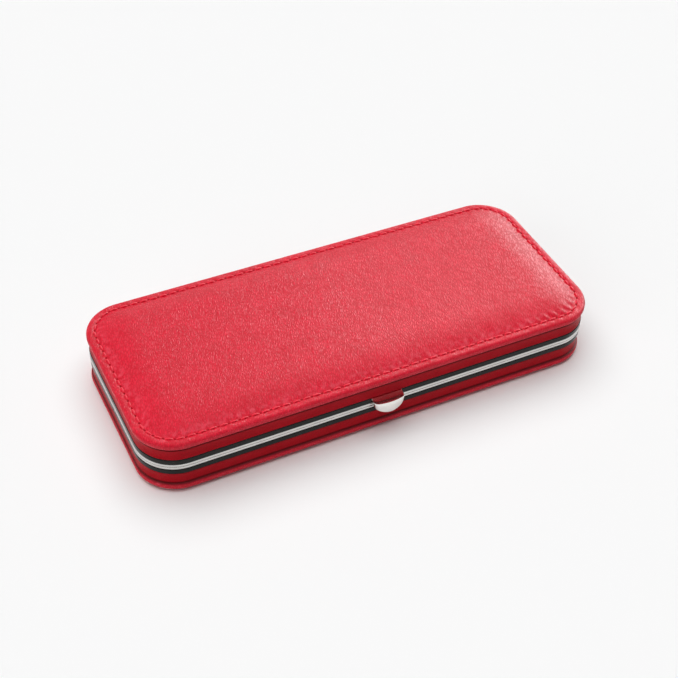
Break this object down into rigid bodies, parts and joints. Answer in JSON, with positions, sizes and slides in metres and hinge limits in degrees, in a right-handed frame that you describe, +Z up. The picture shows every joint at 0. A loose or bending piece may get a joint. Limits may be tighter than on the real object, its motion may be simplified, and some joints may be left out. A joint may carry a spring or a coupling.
{
  "type": "manicure case",
  "caption": "Slim leather-covered travel case in two padded halves on metal frames, hinged at the back, with a sprung thumb catch in front and tool loops inside.",
  "frame": {"origin": "middle of the flat face that the case rests on", "axes": "+X along the case, -Y towards the thumb catch, +Z up through the lid"},
  "size_m": [0.14, 0.0649, 0.0206],
  "materials": {
    "red_leather": "fine grained nappa, semi-matt",
    "red_thread": "twisted sewing thread",
    "black_strip": "glossy black",
    "nickel": "nickel plated, satin bright",
    "nickel_bright": "nickel plated, polished",
    "spring_steel": "blued spring strip",
    "foam": "open foam",
    "board": "grey card board",
    "lining_velour": "short pile velour",
    "lining_strap": "soft matt leather strap"
  },
  "bodies": {
    "base": {"base_cover": "red_leather", "base_band": "red_leather", "base_stitching": "red_thread", "base_trim": "black_strip", "base_frame": "nickel", "base_padding": "foam", "base_board": "board", "base_filler_card": "board", "base_lining": "lining_velour", "base_tool_loops": "lining_strap", "base_hinge_rivets": "nickel", "base_hinge_leaf_left": "nickel", "base_hinge_leaf_right": "nickel", "hinge_pin_left": "nickel", "hinge_pin_right": "nickel", "catch_strike": "nickel"},
    "lid": {"lid_cover": "red_leather", "lid_band": "red_leather", "lid_stitching": "red_thread", "lid_trim": "black_strip", "lid_frame": "nickel", "lid_padding": "foam", "lid_board": "board", "lid_filler_card": "board", "lid_lining": "lining_velour", "lid_tool_loops": "lining_strap", "lid_hinge_rivets": "nickel", "lid_hinge_leaf_left": "nickel", "lid_hinge_leaf_right": "nickel", "catch_bracket": "nickel", "catch_pin": "nickel", "catch_spring": "spring_steel"},
    "catch": {"thumb_catch": "nickel_bright"}
  },
  "joints": [
    {"name": "lid_hinge", "type": "hinge", "parent": "base", "child": "lid", "pos_m": [0, 0.03075, 0.0096], "axis": [-1, 0, 0], "range_deg": [0, 170]},
    {"name": "catch_press", "type": "hinge", "parent": "lid", "child": "catch", "pos_m": [0, -0.0256, 0.0123], "axis": [1, 0, 0], "range_deg": [0, 9], "stiffness_Nm_per_rad": 0.05, "deforming": ["catch_spring"]}
  ]
}
